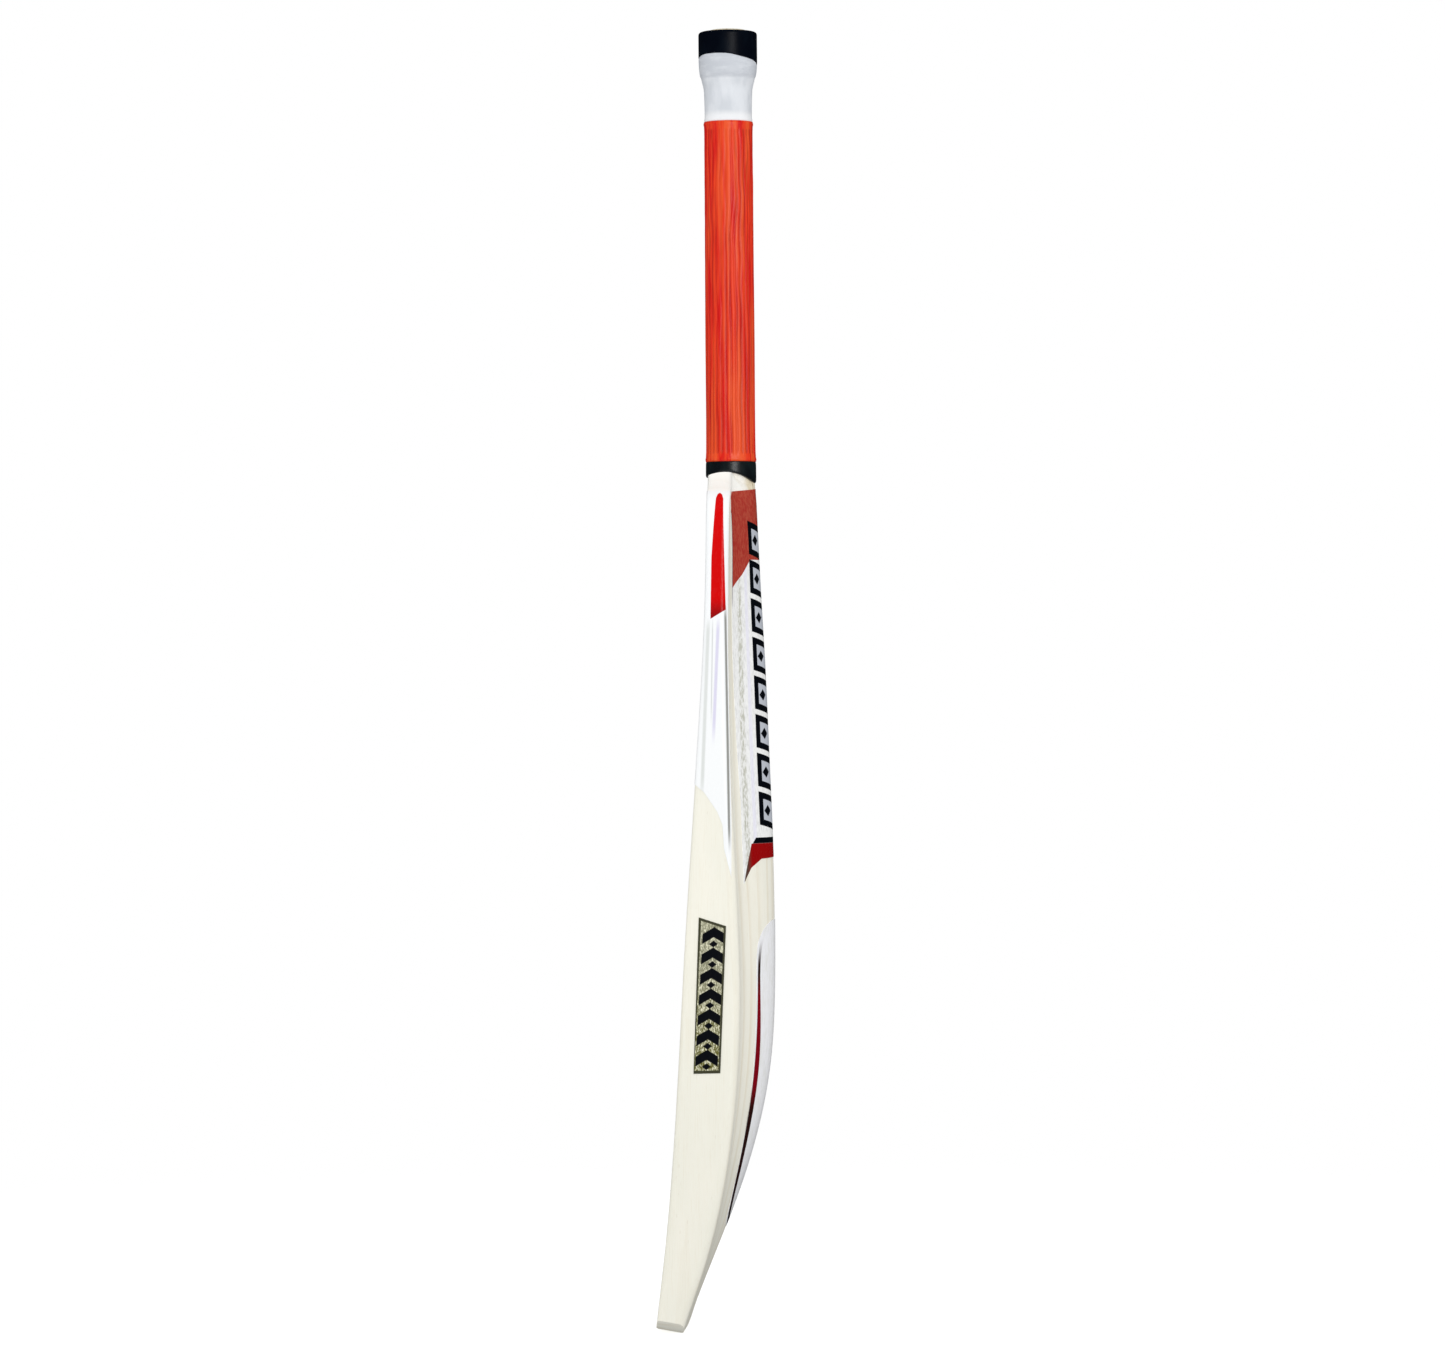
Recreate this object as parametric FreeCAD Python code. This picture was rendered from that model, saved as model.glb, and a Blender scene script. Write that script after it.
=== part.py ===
import FreeCAD, Part
import math
import os

# A full-size, short-handle cricket bat, in millimetres.
# Origin: centre of the flat toe end. +X across the blade, +Y from the hitting face to the
# back, +Z up the handle, whose straight axis is parallel to Z and stands behind the toe.

Vector = FreeCAD.Vector

# ---- blade ------------------------------------------------------------------------------
HANDLE_Y = 41.5          # the handle's axis stands this far behind the toe's centre
TOE_TILT = 10.0          # degrees; the toe is cut square to the bowed blade
FACE_CROWN = 1.4         # the hitting face bulges this much along its middle
FRONT_EDGE_R = 2.6       # rounding between the face and the sides
BACK_EDGE_R = 4.8        # rounding between the sides and the back
BACK_SHAPE = [(0.64, 0.27), (0.31, 0.76)]    # hollow, ridge: share of half width, of rise

# height, face's distance behind the toe centre, side thickness, spine thickness, half width
STATIONS = [
    (-8.0, -10.1, 15.9, 16.4, 53.2),
    (25.0, -6.5, 23.3, 24.6, 53.4),
    (60.0, -2.3, 30.2, 34.6, 53.6),
    (110.0, 2.4, 36.2, 48.0, 53.7),
    (170.0, 6.6, 38.8, 57.4, 53.7),
    (235.0, 10.4, 36.8, 57.4, 53.7),
    (300.0, 14.8, 30.2, 52.8, 53.5),
    (370.0, 19.9, 22.4, 45.4, 53.2),
    (440.0, 24.7, 16.8, 37.9, 52.8),
    (485.0, 26.7, 14.9, 33.6, 52.5),
    (510.0, 27.3, 14.8, 31.9, 51.9),
    (524.0, 27.5, 14.8, 31.1, 50.6),
    (534.0, 27.6, 14.9, 30.6, 48.0),
    (541.0, 27.7, 14.9, 30.2, 44.4),
    (547.0, 27.7, 14.9, 29.8, 38.6),
    (552.0, 27.8, 15.0, 29.5, 31.6),
    (556.0, 27.8, 15.0, 29.3, 26.4),
    (561.0, 27.8, 15.0, 29.0, 22.2),
    (568.0, 27.8, 15.0, 28.6, 19.4),
    (580.0, 27.8, 15.0, 27.8, 17.8),
]
NECK_ARCH = [(-16.0, 558.6), (-5.0, 561.6), (18.0, 553.0)]    # side view, from the axis
TOE_CORNER = [(28.0, -0.7), (44.5, 1.6), (54.6, 8.2)]         # front view
TOE_FRONT = [(-7.8, 0.0), (-9.7, 0.7), (-10.7, 2.6)]         # side view, square to the toe
TOE_BACK = [(6.4, 0.0), (8.1, 0.7), (9.1, 2.6)]

# ---- splice -----------------------------------------------------------------------------
SPLICE_TIP = (1.3, 424.0)          # half width and height of the V's foot
SPLICE_MOUTH = (15.6, 563.0)       # half width and height where it meets the shoulders

# ---- handle -----------------------------------------------------------------------------
NECK_Z = 545.0           # the turned handle starts below the shoulders, inside the blade
CANE_PROFILE = [(14.3, NECK_Z), (14.1, 600.0), (13.8, 700.0), (13.5, 790.0), (13.6, 808.0),
                (14.6, 817.0), (16.4, 825.0), (16.8, 834.0), (16.8, 848.0)]
CANE_CROWN = [(14.4, 852.2), (9.5, 854.0)]   # rounding up to the flat butt end
CANE_END_Z = CANE_CROWN[-1][1]
TWINE = 0.6              # one layer of waxed thread round the cane
TWINE_TOP = 846.0
SPRING = 1.2             # thickness of each rubber strip
SPRING_Y = 7.0           # from the middle rubber strip to the outer ones
STRIP_HALF = 4.7         # half width of the middle cane strips

# ---- rubber grip: outer radius and height ---------------------------------------------------
GRIP_PROFILE = [(16.6, NECK_Z), (16.6, 566.0), (16.5, 574.0), (16.4, 640.0), (16.2, 720.0),
                (16.1, 785.0), (16.1, 800.0), (16.4, 812.0), (17.1, 818.5), (18.5, 823.5),
                (19.2, 829.0), (19.4, 835.0)]
BAND_R = 19.4
BAND_SHOULDER_Z = 850.4  # top of the band's straight cylinder
LIP_R = 2.1              # rounding at the top of the band
LIP_Z = 852.5
LIP_HOLE_R = 14.8
RING_TOP = 569.0         # colour changes: ring to sleeve, sleeve to collar, collar to band
SLEEVE_TOP = 793.0
BAND_BASE = 833.0        # on the axis
BAND_SLANT = (-6.0, -11.4)    # degrees about X and about Y
BEAD = 0.35              # height of the raised ring at each end of the sleeve
BEAD_LENGTH = 3.4

# ---- vinyl stickers ----------------------------------------------------------------------
VINYL = 0.3
# side view outlines: distance behind the face, height
FACE_STICKER = [(-8.0, 549.0), (14.7, 549.0), (14.7, 500.0), (16.0, 450.0), (21.2, 380.0),
                (25.4, 334.0), (27.8, 296.5), (21.8, 315.5), (19.7, 331.0), (15.9, 339.2),
                (6.7, 351.8), (-8.0, 364.0)]
EDGE_LABEL = [(8.1, 270.8), (26.2, 265.0), (27.6, 169.3), (10.2, 169.0)]
# front view outlines, right half: distance from the middle, height
FACE_ARCH = [(-46.0, 350.0), (0.0, 390.0), (46.0, 350.0)]
SPLICE_MARGIN = 9.0      # bare wood left on each side of the splice
BACK_STICKER = [(0.0, 551.0), (28.0, 548.5), (34.0, 544.0), (37.5, 534.0), (38.0, 440.0),
                (33.5, 345.0), (34.5, 291.5), (27.0, 302.0), (18.0, 307.5), (0.0, 308.5)]
SPINE_STICKER = [(0.0, 267.0), (14.0, 264.0), (22.0, 255.0), (24.8, 238.0), (25.0, 200.0),
                 (24.0, 140.0), (21.0, 88.0), (13.0, 70.0), (0.0, 65.0)]
BACK_STICKER_Y = 35.0    # planes inside the blade, in front of the back at each sticker
SPINE_STICKER_Y = 20.0

FAR = 200.0              # reach of the cutting tools
FINE = 1e-6


def line(a, b):
    return Part.LineSegment(a, b).toShape()


def arc(a, b, c):
    return Part.Arc(a, b, c).toShape()


def spline(points, start=None, end=None):
    """A smooth edge through the points, with end tangents where they are given."""
    curve = Part.BSplineCurve()
    if start is None:
        curve.interpolate(Points=points)
    else:
        curve.interpolate(Points=points, InitialTangent=start, FinalTangent=end)
    return curve.toShape()


def chain(points):
    return [line(a, b) for a, b in zip(points, points[1:]) if (b - a).Length > FINE]


def prism(edges, direction):
    return Part.Face(Part.Wire(Part.__sortEdges__(edges))).extrude(direction)


def mirrored(shape):
    return shape.mirror(Vector(0, 0, 0), Vector(1, 0, 0))


def slab(z0, z1):
    """A thick slice square to the handle."""
    return Part.makeBox(2 * FAR, 2 * FAR, z1 - z0, Vector(-FAR, -FAR, z0))


# ---- blade --------------------------------------------------------------------------------

def section(station, grow):
    """One horizontal slice of the blade, larger all round by grow."""
    z, face, side, spine, half = station
    half += grow
    front = face - grow
    back = face + side + grow
    rise = spine - side
    cut = 1 - math.sqrt(0.5)

    def point(x, y):
        return Vector(x, y, z)

    def corner(sign, edge_y, radius, inward):
        start = point(sign * half, edge_y + inward * radius)
        middle = point(sign * (half - cut * radius), edge_y + inward * cut * radius)
        end = point(sign * (half - radius), edge_y)
        return start, middle, end

    front_r = FRONT_EDGE_R + grow
    back_r = BACK_EDGE_R + grow
    front_right = corner(1, front, front_r, 1)
    front_left = corner(-1, front, front_r, 1)
    back_right = corner(1, back, back_r, -1)
    back_left = corner(-1, back, back_r, -1)
    flat = half - back_r
    slope = [point(share * flat, back + part * rise) for share, part in BACK_SHAPE]
    far_slope = [point(-p.x, p.y) for p in reversed(slope)]
    ridge = [back_right[2]] + slope + [point(0, back + rise)] + far_slope + [back_left[2]]
    leftward = Vector(-1, 0, 0)
    return Part.Wire([
        arc(front_left[2], point(0, front - FACE_CROWN), front_right[2]),
        arc(*reversed(front_right)),
        line(front_right[0], back_right[0]),
        arc(*back_right),
        spline(ridge, leftward, leftward),
        arc(*reversed(back_left)),
        line(back_left[0], front_left[0]),
        arc(*front_left),
    ])


def toe_cutters(grow):
    """What lies outside the tilted toe end, its rounded edges and its two corners."""
    depth = -60
    corner = [Vector(x, -FAR, z - grow) for x, z in TOE_CORNER]
    around = [corner[2], Vector(FAR, -FAR, corner[2].z), Vector(FAR, -FAR, depth),
              Vector(corner[0].x, -FAR, depth), corner[0]]
    right = prism([arc(*corner)] + chain(around), Vector(0, 2 * FAR, 0))
    front = [Vector(-FAR, y - grow, z - grow) for y, z in TOE_FRONT]
    back = [Vector(-FAR, y + grow, z - grow) for y, z in TOE_BACK]
    below = [back[2], Vector(-FAR, FAR, back[2].z), Vector(-FAR, FAR, depth),
             Vector(-FAR, -FAR, depth), Vector(-FAR, -FAR, front[2].z), front[2]]
    end = prism([arc(*front), line(front[0], back[0]), arc(*back)] + chain(below),
                Vector(2 * FAR, 0, 0))
    tools = [end, right, mirrored(right)]
    for tool in tools:
        tool.rotate(Vector(0, 0, 0), Vector(1, 0, 0), -TOE_TILT)
    return tools


def above_neck(grow=0.0):
    """The space above the arched top of the shoulders."""
    a, b, c = [Vector(-FAR, HANDLE_Y + y, z + grow) for y, z in NECK_ARCH]
    top = 900
    far = [c, Vector(-FAR, FAR, c.z), Vector(-FAR, FAR, top), Vector(-FAR, -FAR, top),
           Vector(-FAR, -FAR, a.z), a]
    return prism([arc(a, b, c)] + chain(far), Vector(2 * FAR, 0, 0))


def blade_body(grow=0.0):
    """The blade's outside, before the splice is cut."""
    body = Part.makeLoft([section(station, grow) for station in STATIONS], True, False)
    for tool in toe_cutters(grow) + [above_neck(grow)]:
        body = body.cut(tool)
    return body


def splice(margin=0.0):
    """The long V that the handle's foot fills, right through the blade."""
    (tip, tip_z), (mouth, mouth_z) = SPLICE_TIP, SPLICE_MOUTH
    corners = [Vector(-tip - margin, -FAR, tip_z - margin), Vector(tip + margin, -FAR, tip_z - margin),
               Vector(mouth + margin, -FAR, mouth_z), Vector(-mouth - margin, -FAR, mouth_z)]
    return prism(chain(corners + corners[:1]), Vector(0, 2 * FAR, 0))


# ---- handle ----------------------------------------------------------------------------------

def turned(edges):
    """A solid turned about the handle's axis, from a closed half outline."""
    solid = Part.Face(Part.Wire(Part.__sortEdges__(edges))).revolve(
        Vector(0, 0, 0), Vector(0, 0, 1), 360)
    solid.translate(Vector(0, HANDLE_Y, 0))
    return solid


def half_plane(points):
    return [Vector(radius, 0, z) for radius, z in points]


def to_axis(first, last):
    """The straight edges that close a half outline along the axis."""
    return chain([last, Vector(0, 0, last.z), Vector(0, 0, first.z), first])


def cane_core(grow=0.0):
    """The turned cane: round handle, flared knob and rounded butt."""
    side = half_plane([(radius + grow, z) for radius, z in CANE_PROFILE])
    crown = half_plane([(radius + grow, z + grow) for radius, z in CANE_CROWN])
    return turned([spline(side), arc(side[-1], *crown)] + to_axis(side[0], crown[-1]))


def twine_binding():
    """The thread's solid layer, open at both ends."""
    layer = cane_core(TWINE).cut(cane_core())
    return layer.common(slab(NECK_Z, TWINE_TOP)).common(above_neck())


def handle_strips(handle):
    """Twelve cane strips in four rows of three, with a rubber strip between rows."""
    half = SPRING / 2
    rows = {
        "front": (-FAR, -SPRING_Y - half),
        "mid_front": (-SPRING_Y + half, -half),
        "mid_back": (half, SPRING_Y - half),
        "back": (SPRING_Y + half, FAR),
    }
    columns = {"left": (-FAR, -STRIP_HALF), "centre": (-STRIP_HALF, STRIP_HALF),
               "right": (STRIP_HALF, FAR)}
    springs = {"front": -SPRING_Y, "middle": 0.0, "back": SPRING_Y}

    def column(x0, x1, y0, y1):
        foot = Vector(x0, HANDLE_Y + y0, SPLICE_TIP[1] - 10)
        return Part.makeBox(x1 - x0, y1 - y0, CANE_END_Z, foot)

    parts = {}
    for row, (y0, y1) in rows.items():
        for place, (x0, x1) in columns.items():
            parts[f"cane_{row}_{place}"] = handle.common(column(x0, x1, y0, y1))
    for place, y in springs.items():
        strip = column(-FAR, FAR, y - half, y + half)
        parts[f"rubber_spring_{place}"] = handle.common(strip)
    return parts


# ---- grip ------------------------------------------------------------------------------------

def grip_outside():
    """The grip's outside, from inside the shoulders to the rolled lip."""
    side = half_plane(GRIP_PROFILE)
    foot = Vector(BAND_R, 0, side[-1].z)
    top = Vector(BAND_R, 0, BAND_SHOULDER_Z)
    rise = LIP_Z - BAND_SHOULDER_Z
    cut = 1 - math.sqrt(0.5)
    roll = half_plane([(BAND_R - LIP_R * cut, LIP_Z - rise * cut), (BAND_R - LIP_R, LIP_Z)])
    edges = [spline(side), line(foot, top), arc(top, *roll)]
    return turned(edges + to_axis(side[0], roll[-1]))


def radius_at(z):
    """The grip's outer radius at a height, along its nearly straight length."""
    for (r0, z0), (r1, z1) in zip(GRIP_PROFILE, GRIP_PROFILE[1:]):
        if z0 <= z <= z1:
            return r0 + (r1 - r0) * (z - z0) / (z1 - z0)
    raise ValueError("height is off the grip")


def bead(z):
    """A raised ring round the sleeve, its middle at height z."""
    radius = radius_at(z)
    low, high = half_plane([(radius - 1, z - BEAD_LENGTH / 2), (radius - 1, z + BEAD_LENGTH / 2)])
    return turned([arc(low, Vector(radius + BEAD, 0, z), high)] + to_axis(low, high))


def grip_parts():
    """The grip's four coloured lengths, bonded end to end, hollow for the handle."""
    filled = cane_core().fuse(cane_core(TWINE).common(slab(NECK_Z, TWINE_TOP)))
    hole = Part.makeCylinder(LIP_HOLE_R, 40, Vector(0, HANDLE_Y, CANE_END_Z - 20))
    inside = filled.fuse(hole)
    tube = grip_outside().cut(inside)
    band_space = Part.makeBox(2 * FAR, 2 * FAR, FAR, Vector(-FAR, -FAR, 0))
    about_x, about_y = BAND_SLANT
    band_space.rotate(Vector(0, 0, 0), Vector(1, 0, 0), about_x)
    band_space.rotate(Vector(0, 0, 0), Vector(0, 1, 0), about_y)
    band_space.translate(Vector(0, HANDLE_Y, BAND_BASE))
    sleeve = tube.common(slab(RING_TOP, SLEEVE_TOP))
    for z in (RING_TOP + BEAD_LENGTH / 2, SLEEVE_TOP - BEAD_LENGTH / 2):
        sleeve = sleeve.fuse(bead(z).cut(inside))
    return {
        "grip_butt_band": tube.common(band_space),
        "grip_collar": tube.common(slab(SLEEVE_TOP, CANE_END_Z)).cut(band_space),
        "grip_sleeve": sleeve.removeSplitter(),
        "grip_base_ring": tube.common(slab(NECK_Z, RING_TOP)).common(above_neck()),
    }


# ---- stickers ----------------------------------------------------------------------------------

def face_y(z):
    """Where the hitting face is at a height."""
    for low, high in zip(STATIONS, STATIONS[1:]):
        if low[0] <= z <= high[0]:
            return low[1] + (high[1] - low[1]) * (z - low[0]) / (high[0] - low[0])
    raise ValueError("height is off the blade")


def side_outline(points):
    """Straight edges in the plane x = 0 from (distance behind the face, height) points."""
    corners = [Vector(0, face_y(z) + back, z) for back, z in points]
    return chain(corners + corners[:1])


def both_halves(points, y):
    """Points of a symmetrical front view outline, from its right half."""
    right = [Vector(x, y, z) for x, z in points]
    return right + [Vector(-p.x, p.y, p.z) for p in reversed(right[1:-1])]


def face_sticker(shell, body):
    """One sheet over the face and both sides, cut away round the splice."""
    sheet = shell.common(prism(side_outline(FACE_STICKER), Vector(FAR, 0, 0)))
    whole = sheet.fuse(mirrored(sheet)).cut(body)
    a, b, c = [Vector(x, -FAR, z) for x, z in FACE_ARCH]
    under_arch = prism([arc(a, b, c), line(c, a)], Vector(0, 2 * FAR, 0))
    return whole.cut(under_arch).cut(splice(SPLICE_MARGIN)).removeSplitter()


def stickers(body):
    """Thin vinyl that hugs the blade: what lies between it and a slightly larger one."""
    shell = blade_body(VINYL)
    backward = Vector(0, FAR, 0)
    corners = both_halves(BACK_STICKER, BACK_STICKER_Y)
    curve = Part.BSplineCurve()
    curve.interpolate(Points=both_halves(SPINE_STICKER, SPINE_STICKER_Y), PeriodicFlag=True)
    back = prism(chain(corners + corners[:1]), backward)
    spine = prism([curve.toShape()], backward)
    parts = {
        "face_sticker": face_sticker(shell, body),
        "back_sticker": shell.common(back).cut(body),
        "spine_sticker": shell.common(spine).cut(body),
    }
    for name, sign in {"right": 1, "left": -1}.items():
        label = prism(side_outline(EDGE_LABEL), Vector(sign * FAR, 0, 0))
        parts[f"edge_label_{name}"] = shell.common(label).cut(body)
    return parts


# ---- the bat --------------------------------------------------------------------------------------

def build():
    body = blade_body()
    parts = {"blade": body.cut(splice()), "twine_binding": twine_binding()}
    parts.update(handle_strips(cane_core().fuse(body.common(splice()))))
    parts.update(grip_parts())
    parts.update(stickers(body))
    return parts


os.makedirs("parts", exist_ok=True)
for node, shape in build().items():
    shape.exportStep(f"parts/{node}.step")
    print(f"{node:26s} solids {len(shape.Solids)}  valid {shape.isValid()}  mm3 {shape.Volume:10.0f}")
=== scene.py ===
import math

import bpy
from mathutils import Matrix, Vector, noise
from mathutils.bvhtree import BVHTree


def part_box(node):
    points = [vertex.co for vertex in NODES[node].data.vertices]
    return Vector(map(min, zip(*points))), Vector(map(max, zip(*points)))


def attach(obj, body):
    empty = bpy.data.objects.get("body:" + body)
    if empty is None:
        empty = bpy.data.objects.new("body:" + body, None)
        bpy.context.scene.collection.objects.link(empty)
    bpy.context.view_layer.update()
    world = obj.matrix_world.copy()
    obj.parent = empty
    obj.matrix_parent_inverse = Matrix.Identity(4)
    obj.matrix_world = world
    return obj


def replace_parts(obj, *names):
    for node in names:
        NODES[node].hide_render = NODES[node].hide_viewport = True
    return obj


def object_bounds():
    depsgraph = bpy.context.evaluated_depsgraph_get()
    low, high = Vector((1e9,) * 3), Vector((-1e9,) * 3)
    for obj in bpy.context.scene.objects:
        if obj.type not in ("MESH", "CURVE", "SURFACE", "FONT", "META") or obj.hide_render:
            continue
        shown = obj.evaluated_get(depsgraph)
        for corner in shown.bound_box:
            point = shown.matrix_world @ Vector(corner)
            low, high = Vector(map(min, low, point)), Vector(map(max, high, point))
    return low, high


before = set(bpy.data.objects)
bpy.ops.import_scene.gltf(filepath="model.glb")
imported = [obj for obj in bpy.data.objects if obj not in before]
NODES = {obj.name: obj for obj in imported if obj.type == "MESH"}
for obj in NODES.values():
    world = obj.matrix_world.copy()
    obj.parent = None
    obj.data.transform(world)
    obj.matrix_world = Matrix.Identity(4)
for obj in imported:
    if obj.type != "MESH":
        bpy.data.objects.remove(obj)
cad_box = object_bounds()

MM = 0.001
BOXES = {name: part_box(name) for name in NODES}
LOW, HIGH = [Vector(corner) for corner in cad_box]
CANE_LOW, CANE_HIGH = BOXES["cane_mid_front_centre"]
AXIS_Y = BOXES["rubber_spring_middle"][0].y / 2 + BOXES["rubber_spring_middle"][1].y / 2
SLEEVE_END_Z = BOXES["grip_sleeve"][1].z
KNOB_STEP_Z = 821.5 * MM       # the collar puckers here, below the knob
GROOVE = "groove"              # the sleeve mesh's attribute for how deep a point lies in a groove


# ---- node helpers -------------------------------------------------------------------------

class Material:
    """Short calls that build one node material. Coordinates are in millimetres, in the row frame."""

    def __init__(self, name):
        self.material = bpy.data.materials.new(name)
        self.material.use_nodes = True
        self.tree = self.material.node_tree
        self.tree.nodes.clear()
        self.shader = self.tree.nodes.new("ShaderNodeBsdfPrincipled")
        output = self.tree.nodes.new("ShaderNodeOutputMaterial")
        self.tree.links.new(self.shader.outputs[0], output.inputs["Surface"])
        place = self.tree.nodes.new("ShaderNodeTexCoord").outputs["Object"]
        self.place = self.vector("SCALE", place, scale=1 / MM)
        split = self.tree.nodes.new("ShaderNodeSeparateXYZ")
        self.tree.links.new(self.place, split.inputs[0])
        self.x, self.y, self.z = split.outputs

    def feed(self, socket, value):
        """Links a node's output to a socket, or writes a fixed value on it."""
        if isinstance(value, bpy.types.NodeSocket):
            self.tree.links.new(value, socket)
        else:
            socket.default_value = value

    def math(self, operation, a, b=0.0, c=0.0):
        node = self.tree.nodes.new("ShaderNodeMath")
        node.operation = operation
        for socket, value in zip(node.inputs, (a, b, c)):
            self.feed(socket, value)
        return node.outputs[0]

    def times(self, *factors):
        """The product of all the factors."""
        product = factors[0]
        for factor in factors[1:]:
            product = self.math("MULTIPLY", product, factor)
        return product

    def distance(self, value, middle=0.0):
        """How far a value lies from a middle, either way."""
        return self.math("ABSOLUTE", self.math("SUBTRACT", value, middle))

    def vector(self, operation, a, b=None, scale=None):
        node = self.tree.nodes.new("ShaderNodeVectorMath")
        node.operation = operation
        self.feed(node.inputs[0], a)
        if b is not None:
            self.feed(node.inputs[1], b)
        if scale is not None:
            self.feed(node.inputs["Scale"], scale)
        return node.outputs["Value"] if operation == "DOT_PRODUCT" else node.outputs["Vector"]

    def stretched(self, x, y, z):
        """The coordinates multiplied along each axis."""
        return self.vector("MULTIPLY", self.place, (x, y, z))

    def noise(self, vector, scale=1.0, detail=2.0, roughness=0.5):
        node = self.tree.nodes.new("ShaderNodeTexNoise")
        self.feed(node.inputs["Vector"], vector)
        node.inputs["Scale"].default_value = scale
        node.inputs["Detail"].default_value = detail
        node.inputs["Roughness"].default_value = roughness
        return node.outputs["Fac"]

    def cells(self, vector, scale=1.0):
        """Distance to the nearest of a scatter of points."""
        node = self.tree.nodes.new("ShaderNodeTexVoronoi")
        self.feed(node.inputs["Vector"], vector)
        node.inputs["Scale"].default_value = scale
        return node.outputs["Distance"]

    def step(self, value, low, high, start=0.0, end=1.0):
        """Start below low, end above high, and smooth between them."""
        node = self.tree.nodes.new("ShaderNodeMapRange")
        node.interpolation_type = "SMOOTHSTEP"
        for socket, number in zip(node.inputs, (value, low, high, start, end)):
            self.feed(socket, number)
        return node.outputs[0]

    def mix(self, amount, a, b):
        """Colour a, turning into colour b as amount goes from 0 to 1."""
        node = self.tree.nodes.new("ShaderNodeMix")
        node.data_type = "RGBA"
        self.feed(node.inputs["Factor"], amount)
        self.feed(node.inputs[6], a)
        self.feed(node.inputs[7], b)
        return node.outputs[2]

    def darken(self, colour, amount):
        """The colour times (1 - amount)."""
        return self.mix(amount, colour, (0.0, 0.0, 0.0, 1.0))

    def inside(self, across, up, corners, soft=0.12):
        """1 inside a convex outline of (across, up) corners, given anticlockwise, soft at its edge."""
        flat = self.tree.nodes.new("ShaderNodeCombineXYZ")
        self.feed(flat.inputs[0], across)
        self.feed(flat.inputs[1], up)
        least = None
        for (a0, u0), (a1, u1) in zip(corners, corners[1:] + corners[:1]):
            length = math.hypot(a1 - a0, u1 - u0)
            inward = ((u0 - u1) / length, (a1 - a0) / length, 0.0)
            depth = self.vector("DOT_PRODUCT", flat.outputs[0], inward)
            depth = self.math("SUBTRACT", depth, inward[0] * a0 + inward[1] * u0)
            least = depth if least is None else self.math("MINIMUM", least, depth)
        return self.step(least, -soft, soft)

    def bump(self, height, depth_mm):
        """A bump whose height runs from 0 to depth_mm."""
        node = self.tree.nodes.new("ShaderNodeBump")
        node.inputs["Distance"].default_value = depth_mm * MM
        self.feed(node.inputs["Height"], height)
        return node.outputs[0]

    def finish(self, colour, roughness, bump=None, **fixed):
        """Sets the shader's inputs. Fixed values go straight on their sockets."""
        self.feed(self.shader.inputs["Base Color"], colour)
        self.feed(self.shader.inputs["Roughness"], roughness)
        if bump is not None:
            self.feed(self.shader.inputs["Normal"], bump)
        for name, value in fixed.items():
            self.shader.inputs[name.replace("_", " ")].default_value = value
        return self.material


def rgb(red, green, blue):
    """A display colour, 0 to 255 a channel, as the linear colour that shaders use."""
    def linear(value):
        share = value / 255
        return share / 12.92 if share <= 0.04045 else ((share + 0.055) / 1.055) ** 2.4
    return (linear(red), linear(green), linear(blue), 1.0)


# ---- wood -----------------------------------------------------------------------------------

# Sizes and places are in millimetres in the row frame, here and for the print below. Where a
# place is a pair, a change starts at its first number and is complete at its second.
RING_PITCH = 9.5
RING_SHIFT = 500.0               # keeps the ring count above 0 from edge to edge
EDGE_RINGS_X = (52.5, 49.0)      # the rings are faint on the edges, full on face and back
TOE_SHADE_Z = (300.0, 60.0)      # the wood darkens a little towards the toe
PALE_LOW_Z = (538.0, 550.0)
PALE_HIGH_Z = (590.0, 575.0)
PALE_SIDE_X = (8.5, 12.0)
SPLICE_TIP_HALF = 1.3            # half width of the splice at its foot
SPLICE_MOUTH_HALF = 15.6         # half width of the splice at its mouth
SPLICE_DEPTH = 139.0
PALE = rgb(252, 251, 246)


def shoulder_pale(m):
    """1 on the sides of the shoulders and the splice's mouth below the grip, where the colour is turned
    pale.
    """
    return m.times(m.step(m.z, *PALE_LOW_Z), m.step(m.z, *PALE_HIGH_Z),
                   m.step(m.distance(m.x), *PALE_SIDE_X))


def splice_seam(m):
    """1 in a hair line along the glued sides of the splice."""
    foot = CANE_LOW.z / MM
    slope = (SPLICE_MOUTH_HALF - SPLICE_TIP_HALF) / SPLICE_DEPTH
    side = m.math("ADD", m.times(m.math("SUBTRACT", m.z, foot), slope), SPLICE_TIP_HALF)
    near = m.step(m.distance(m.distance(m.x), side), 0.45, 0.15)
    return m.times(near, m.step(m.z, foot - 1.0, foot))


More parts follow.
